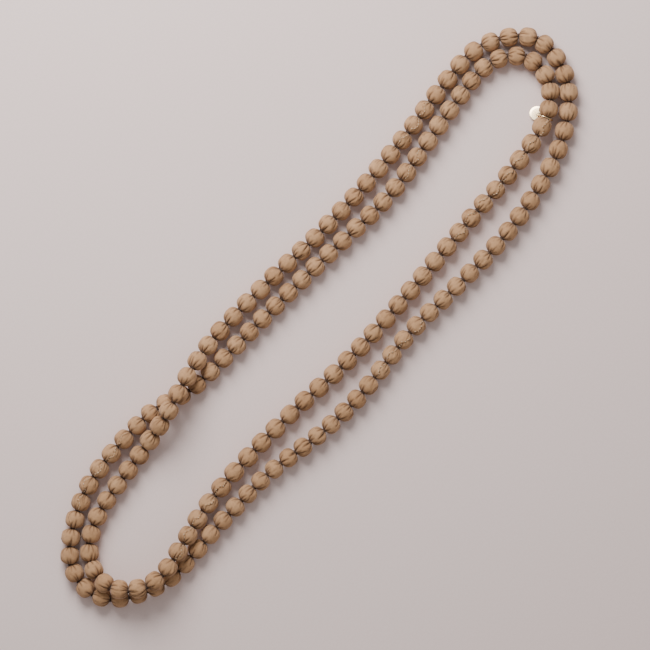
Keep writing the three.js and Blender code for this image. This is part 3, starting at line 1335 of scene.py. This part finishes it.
@dataclass
class StrandParts:
    """What repeats along the strand: the ties at the necks, loose thread ends, seam stitches, cores and cord."""

    route: StrandRoute
    covers: BeadCovers
    tie_sizes: dict[str, float | int] = field(default_factory=lambda: {
        "Turns": 4.0, "Steps": 6, "Inner Radius": 0.00130, "Outer Radius": 0.00152, "Width": 0.00050,
        "Thread Radius": 0.00020, "Seed": 7,
    })
    tail_sizes: dict[str, float | int] = field(default_factory=lambda: {
        "Length": 0.0042, "Thread Radius": 0.00016, "Seed": 11,
    })
    stitch_sizes: dict[str, float | int] = field(default_factory=lambda: {
        "Pitch": 0.0017, "Length": 0.00060, "Width": 0.00023, "Stray": 0.00050, "Seed": 23,
    })
    core_sizes: dict[str, float | int] = field(default_factory=lambda: {"Radius": 0.0046, "Seed": 3})
    cord_sizes: dict[str, float | int] = field(default_factory=lambda: {"Radius": 0.00045, "Seed": 5})
    tails: tuple[tuple[int, float], ...] = (
        (26, 78.0), (28, 60.0), (55, 100.0), (109, 95.0), (111, 70.0), (113, 115.0), (125, 84.0), (159, 65.0),
    )

    def bodies(self) -> list[str]:
        """The bodies that carry beads, in order along the strand."""
        return list(dict.fromkeys(run.body for run in self.route.runs))

    def carried(self, piece: bpy.types.Object, body: str) -> bpy.types.Object:
        """Lets a piece move with a body, and logs how many faces it has.

        Args:
            piece: The piece.
            body: The body it moves with.

        Returns:
            The same piece.
        """
        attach(piece, body)
        LOG.info("%s: %d faces", piece.name, len(piece.data.polygons))
        return piece

    def tie_tree(self, material: bpy.types.Material) -> Grower:
        """The tree that winds thread round each neck.

        Args:
            material: The finish that the pieces are made in.

        Returns:
            The tree.
        """
        tree = Grower("neck_ties", self.tie_sizes)
        spiral = tree.node("GeometryNodeCurveSpiral", None, {
            "Resolution": tree.size("Steps"), "Rotations": tree.size("Turns"), "Start Radius": tree.size("Inner Radius"),
            "End Radius": tree.size("Outer Radius"), "Height": tree.size("Width"),
        }).outputs["Curve"]
        down = tree.vector(0.0, 0.0, tree.sum("MULTIPLY", tree.size("Width"), -0.5))
        centred = tree.node("GeometryNodeTransform", None, {"Geometry": spiral, "Translation": down}).outputs[0]
        coil = tree.tube(centred, tree.size("Thread Radius"), 3)
        turn = tree.facing("Z", tree.marked("along"), tree.spun(tree.chance(0.0, 2 * math.pi)))
        size = tree.chance(0.92, 1.12, 1)
        tree.finished(tree.on_points(tree.entry.outputs[0], coil, turn, tree.vector(size, size, size)), material)
        return tree

    def build_ties(self, material: bpy.types.Material) -> None:
        """Winds the ties of each body, in place of the plain ones at its folds.

        Args:
            material: The finish that the pieces are made in.
        """
        tree = self.tie_tree(material)
        for body in self.bodies():
            necks = [neck for neck in range(self.route.count) if self.route.body_of_neck(neck) == body]
            points = [self.route.necks[neck][None] for neck in necks]
            marks = {"along": [self.route.neck_along(neck)[None] for neck in necks]}
            piece = tree.grown(f"ties_{body}", line_mesh(f"ties_{body}", points, marks), material)
            plain = [self.route.fold_of[neck] for neck in necks if neck in self.route.fold_of]
            if plain:
                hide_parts(*plain)
            self.carried(piece, body)

    def tail_tree(self, material: bpy.types.Material) -> Grower:
        """The tree that leaves a loose end of thread standing at a tie.

        Args:
            material: The finish that the pieces are made in.

        Returns:
            The tree.
        """
        tree = Grower("thread_tails", self.tail_sizes)
        length = tree.size("Length")
        bend = tree.node("GeometryNodeCurveQuadraticBezier", None, {
            "Resolution": 6, "Start": (0.0, 0.0, 0.0),
            "Middle": tree.vector(0.0, tree.sum("MULTIPLY", length, 0.12), tree.sum("MULTIPLY", length, 0.6)),
            "End": tree.vector(tree.sum("MULTIPLY", length, 0.3), tree.sum("MULTIPLY", length, 0.35), length),
        }).outputs["Curve"]
        tail = tree.tube(bend, tree.size("Thread Radius"), 4)
        turn = tree.facing("Z", tree.marked("lean"), tree.spun(tree.chance(0.0, 2 * math.pi)))
        size = tree.chance(0.7, 1.15, 1)
        tree.finished(tree.on_points(tree.entry.outputs[0], tail, turn, tree.vector(1.0, 1.0, size)), material)
        return tree

    def build_tails(self, material: bpy.types.Material) -> None:
        """Stands the loose thread ends at their necks.

        Args:
            material: The finish that the pieces are made in.
        """
        tree = self.tail_tree(material)
        for body in self.bodies():
            points, leans = [], []
            for neck, angle in self.tails:
                if self.route.body_of_neck(neck) != body:
                    continue
                middle, along = self.route.necks[neck], self.route.neck_along(neck)
                axes = BeadAxes.between(middle, middle + along)
                out = axes.at(np.zeros(1), np.radians([angle]), np.ones(1)) - middle
                points.append(middle + out * 0.0014)
                leans.append(out)
            if points:
                source = line_mesh(f"tails_{body}", points, {"lean": leans})
                self.carried(tree.grown(f"thread_ends_{body}", source, material), body)

    def stitch_tree(self, material: bpy.types.Material) -> Grower:
        """The tree that sets stitches along the seam.

        Args:
            material: The finish that the pieces are made in.

        Returns:
            The tree.
        """
        tree = Grower("seam_stitches", self.stitch_sizes)
        curve = tree.node("GeometryNodeMeshToCurve", None, {0: tree.entry.outputs[0]}).outputs[0]
        spaced = tree.node(
            "GeometryNodeResampleCurve", {"mode": "LENGTH"}, {"Curve": curve, "Length": tree.size("Pitch")}
        ).outputs[0]
        tangent = tree.node("GeometryNodeInputTangent").outputs[0]
        stray = tree.sum("MULTIPLY", tree.size("Stray"), tree.chance(-1.0, 1.0))
        sideways = tree.node(
            "ShaderNodeVectorMath", {"operation": "CROSS_PRODUCT"}, {0: tangent, 1: tree.marked("out")}
        ).outputs[0]
        offset = tree.node("ShaderNodeVectorMath", {"operation": "SCALE"}, {0: sideways, "Scale": stray}).outputs[0]
        moved = tree.node("GeometryNodeSetPosition", None, {"Geometry": spaced, "Offset": offset}).outputs[0]
        ball = tree.node("GeometryNodeMeshUVSphere", None, {"Segments": 6, "Rings": 4, "Radius": 1.0}).outputs["Mesh"]
        turn = tree.facing("Z", tree.marked("out"), tree.facing("X", tangent))
        wide = tree.sum("MULTIPLY", tree.size("Width"), tree.chance(0.7, 1.2, 1))
        long = tree.sum("MULTIPLY", tree.size("Length"), tree.chance(0.30, 1.3, 2))
        tree.finished(tree.on_points(moved, ball, turn, tree.vector(long, wide, wide)), material)
        return tree

    def stitch_gap(self, neck: int) -> float:
        """How far from a neck the first stitch may stand, farther where the strand folds."""
        return 0.0026 if neck % self.route.count in self.route.fold_of else 0.0013

    def build_stitches(self, material: bpy.types.Material) -> None:
        """Sews the seam where it faces upwards.

        Args:
            material: The finish that the pieces are made in.
        """
        tree = self.stitch_tree(material)
        for body in self.bodies():
            lines, outs = [], []
            for first, last in SEAM_SHOWS:
                for bead in range(first - 1, last):
                    if self.route.body_of_bead(bead) != body:
                        continue
                    length = self.route.axes(bead).length
                    first_gap, last_gap = (self.stitch_gap(neck) for neck in (bead, bead + 1))
                    distance = np.linspace(first_gap, length - last_gap, 16)
                    angle = self.covers.seam_line(self.covers.character(bead), length, distance)
                    points, out = self.covers.on_surface(bead, distance, angle, 0.00004)
                    lines.append(points)
                    outs.append(out)
            if lines:
                source = line_mesh(f"seam_{body}", lines, {"out": outs})
                self.carried(tree.grown(f"stitches_{body}", source, material), body)

    def build_cores(self, material: bpy.types.Material) -> None:
        """Sets the wooden core inside every covered bead.

        Args:
            material: The finish that the pieces are made in.
        """
        tree = Grower("bead_cores", self.core_sizes)
        ball = tree.node("GeometryNodeMeshIcoSphere", None, {"Radius": tree.size("Radius"), "Subdivisions": 2}).outputs["Mesh"]
        turn = tree.facing("Z", tree.marked("along"), tree.spun(tree.chance(0.0, 2 * math.pi)))
        tree.finished(tree.on_points(tree.entry.outputs[0], ball, turn), material)
        for body in self.bodies():
            beads = [bead for bead in range(self.route.count) if self.route.body_of_bead(bead) == body]
            axes = [self.route.axes(bead) for bead in beads]
            points = [(each.start + each.along * each.length / 2)[None] for each in axes]
            source = line_mesh(f"cores_{body}", points, {"along": [each.along[None] for each in axes]})
            self.carried(tree.grown(f"cores_{body}", source, material), body)

    def build_cord(self, material: bpy.types.Material) -> None:
        """Runs the inner cord through the cores of each run.

        Args:
            material: The finish that the pieces are made in.
        """
        tree = Grower("inner_cord", self.cord_sizes)
        curve = tree.node("GeometryNodeMeshToCurve", None, {0: tree.entry.outputs[0]}).outputs[0]
        tree.finished(tree.tube(curve, tree.size("Radius"), 6), material)
        for body in self.bodies():
            lines = []
            for run in self.route.runs:
                if run.body == body:
                    line = np.array([self.route.necks[(run.start + i) % self.route.count] for i in range(run.beads + 1)])
                    line[0] += unit(line[1] - line[0]) * 0.0003
                    line[-1] += unit(line[-2] - line[-1]) * 0.0003
                    lines.append(line)
            self.carried(tree.grown(f"cord_{body}", line_mesh(f"cord_{body}", lines), material), body)


@dataclass
class Pendant:
    """The jump ring and the polished tag on it."""

    route: StrandRoute
    ring_radius: float = 0.0045
    wire_radius: float = 0.0004
    split: float = 0.035
    split_at: float = 2.3
    neck_radius: float = 0.0012
    clearance: float = 0.0003
    lean: float = 0.2
    tag_radius: float = 0.0045
    thickness: float = 0.0005
    hole_radius: float = 0.0012
    rim: float = 0.0006
    place: float = 0.66
    yaw: float = -0.4
    rest: float = 0.0004
    dome: float = 0.00007

    def __post_init__(self) -> None:
        """Works out where the ring and the tag hang."""
        neck = self.route.necks[0]
        along = self.route.neck_along(0)
        corner = self.neck_radius / math.cos(math.pi / 8)
        drop = self.ring_radius - self.wire_radius - self.clearance - corner
        self.stand = Matrix.Translation(Vector(neck)) @ Matrix.Rotation(math.atan2(along[1], along[0]), 4, "Z")
        self.ring_centre = Vector((0.0, -self.lean * drop, -math.sqrt(1 - self.lean**2) * drop))
        self.neck_height = float(neck[2])

    def build_ring(self, material: bpy.types.Material) -> None:
        """Bends the jump ring, with a hair-wide split between its ends.

        Args:
            material: The finish that the pieces are made in.
        """
        steps, sides = 88, 14
        turn = self.split_at + self.split / 2 + (2 * math.pi - self.split) * np.arange(steps) / (steps - 1)
        across = np.arange(sides) * 2 * math.pi / sides
        reach = self.ring_radius + self.wire_radius * np.cos(across)[None]
        y = reach * np.cos(turn)[:, None]
        z = reach * np.sin(turn)[:, None]
        x = np.repeat(self.wire_radius * np.sin(across)[None], steps, 0)
        ends = [np.array([0.0, self.ring_radius * math.cos(a), self.ring_radius * math.sin(a)]) for a in (turn[0], turn[-1])]
        points = np.concatenate([np.stack([x, y, z], -1).reshape(-1, 3), ends])
        row, column = np.meshgrid(np.arange(steps - 1), np.arange(sides), indexing="ij")
        after = (column + 1) % sides
        quads = np.stack(
            [row * sides + column, row * sides + after, (row + 1) * sides + after, (row + 1) * sides + column], -1
        )
        cap = np.arange(sides)
        low = np.stack([(cap + 1) % sides, cap, np.full(sides, steps * sides)], 1)
        top = (steps - 1) * sides
        high = np.stack([top + cap, top + (cap + 1) % sides, np.full(sides, steps * sides + 1)], 1)
        mesh = surface_mesh("ring_wire", points, quads.reshape(-1, 4), np.concatenate([low, high]))
        mesh.transform(self.stand @ Matrix.Translation(self.ring_centre))
        self.finish(placed("ring_wire", mesh, material), "jump_ring", "ring")

    def build_tag(self, material: bpy.types.Material) -> None:
        """Presses the tag: a slightly domed disc with rounded edges, holed near one side.

        Args:
            material: The finish that the pieces are made in.
        """
        half, bevel = self.thickness / 2, 0.00014
        offset = self.tag_radius - self.rim - self.hole_radius
        arc = np.linspace(-math.pi / 2, math.pi / 2, 7)
        outer = [(1.0, -bevel * (1 - math.cos(a)), (half - bevel) * np.sign(a) + bevel * math.sin(a)) for a in arc]
        inner = [(0.0, bevel * (1 - math.cos(a)), -(half - bevel) * np.sign(a) - bevel * math.sin(a)) for a in arc]
        face = [(share, 0.0, None) for share in (0.75, 0.5, 0.25)]
        profile = outer + [(s, o, half) for s, o, _ in face] + inner + [(s, o, -half) for s, o, _ in face[::-1]]
        around = 72
        angle = np.arange(around) * 2 * math.pi / around
        way = np.stack([np.cos(angle), np.sin(angle)], 1)
        hole, edge = self.hole_radius * way, self.tag_radius * way + (0.0, -offset)
        rings = []
        for share, inset, height in profile:
            flat = hole + (edge - hole) * share + way * inset
            from_middle = np.linalg.norm(flat + (0.0, offset), axis=1) / self.tag_radius
            rise = np.sign(height) * self.dome * (1 - from_middle**2) * (abs(height) > half - bevel)
            rings.append(np.column_stack([flat, height + rise]))
        rings = np.stack(rings)
        count = len(rings)
        row, column = np.meshgrid(np.arange(count), np.arange(around), indexing="ij")
        after, next_row = (column + 1) % around, (row + 1) % count
        quads = np.stack(
            [row * around + column, row * around + after, next_row * around + after, next_row * around + column], -1
        )
        mesh = surface_mesh("tag_plate", rings.reshape(-1, 3), quads.reshape(-1, 4))
        hang = self.ring_centre - Vector((0.0, math.sin(self.place), math.cos(self.place))) * self.ring_radius
        tilt = math.asin((self.neck_height + hang.z - self.rest) / (offset + self.tag_radius))
        turn = Matrix.Rotation(self.yaw, 4, "Z") @ Matrix.Rotation(tilt, 4, "X")
        mesh.transform(self.stand @ Matrix.Translation(hang) @ turn)
        self.finish(placed("tag_plate", mesh, material), "tag_disc", "tag")

    def finish(self, piece: bpy.types.Object, node: str, body: str) -> None:
        """Puts a metal piece in its node's place on its body.

        Args:
            piece: The finished piece.
            node: The plain node that it replaces.
            body: The body it moves with.
        """
        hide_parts(node)
        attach(piece, body)
        LOG.info("%s: %d faces", piece.name, len(piece.data.polygons))


@dataclass
class Studio:
    """The floor, the soft lights and the camera."""

    floor_half: float = 2.5
    width_seen: float = 0.3844
    camera_height: float = 1.5
    middle: tuple[float, float] = (0.0008, -0.0011)
    picture_up: tuple[float, float] = (0.735, 0.678)
    bead_height: float = 0.00525

    def build_floor(self, material: bpy.types.Material) -> None:
        """Lays the floor.

        Args:
            material: The finish that the pieces are made in.
        """
        half = self.floor_half
        points = np.array([(-half, -half, 0), (half, -half, 0), (half, half, 0), (-half, half, 0)])
        floor = placed("floor", surface_mesh("floor", points, np.array([[0, 1, 2, 3]])), material)
        LOG.info("floor: %.1f m square", 2 * half)

    def build_lights(self) -> None:
        """Hangs one large soft light at the far side, a weaker one opposite, and an even sky."""
        for name, place, size, power in (
            ("key_light", (0.33, 0.62, 0.62), 0.62, 14.5),
            ("fill_light", (-0.30, -1.20, 1.30), 1.60, 1.0),
        ):
            light = bpy.data.lights.new(name, "AREA")
            light.shape = "DISK"
            light.size = size
            light.energy = power
            holder = bpy.data.objects.new(name, light)
            holder.location = place
            holder.rotation_euler = (-Vector(place)).to_track_quat("-Z", "Y").to_euler()
            bpy.context.scene.collection.objects.link(holder)
        sky = bpy.data.worlds.new("studio_sky")
        sky.use_nodes = True
        glow = sky.node_tree.nodes["Background"]
        glow.inputs["Color"].default_value = (1.0, 0.985, 0.97, 1.0)
        glow.inputs["Strength"].default_value = 0.40
        bpy.context.scene.world = sky
        LOG.info("lights: key, fill and sky")

    def build_camera(self) -> None:
        """Looks straight down, with the loop lying from corner to corner."""
        lens = bpy.data.cameras.new("camera")
        lens.sensor_width = 36.0
        lens.lens = 36.0 * (self.camera_height - self.bead_height) / self.width_seen
        lens.clip_start, lens.clip_end = 0.01, 50.0
        camera = bpy.data.objects.new("camera", lens)
        up = Vector((*self.picture_up, 0.0)).normalized()
        out = Vector((0.0, 0.0, 1.0))
        turn = Matrix((up.cross(out), up, out)).transposed().to_4x4()
        camera.matrix_world = Matrix.Translation((*self.middle, self.camera_height)) @ turn
        bpy.context.scene.collection.objects.link(camera)
        bpy.context.scene.camera = camera
        LOG.info("camera: %.0f mm lens", lens.lens)


def main() -> None:
    """Builds the strand, the pendant and the studio, in order."""
    logging.basicConfig(level=logging.INFO, format="%(name)s: %(message)s")
    studio = Studio()
    studio.build_camera()
    route = StrandRoute()
    dark_thread = TwistedThread("dark_thread", (0.085, 0.036, 0.016), (0.030, 0.012, 0.006)).made()
    cream_thread = TwistedThread("cream_thread", (0.72, 0.56, 0.38), (0.50, 0.34, 0.20)).made()
    covers = BeadCovers(route)
    parts = StrandParts(route, covers)
    parts.build_cores(TurnedWood().made())
    covers.build(CoverCloth().made())
    parts.build_ties(dark_thread)
    parts.build_tails(dark_thread)
    parts.build_stitches(cream_thread)
    parts.build_cord(cream_thread)
    gold = GoldPlate().made()
    pendant = Pendant(route)
    pendant.build_ring(gold)
    pendant.build_tag(gold)
    studio.build_floor(PaperFloor().made())
    studio.build_lights()


if __name__ == "__main__":
    main()
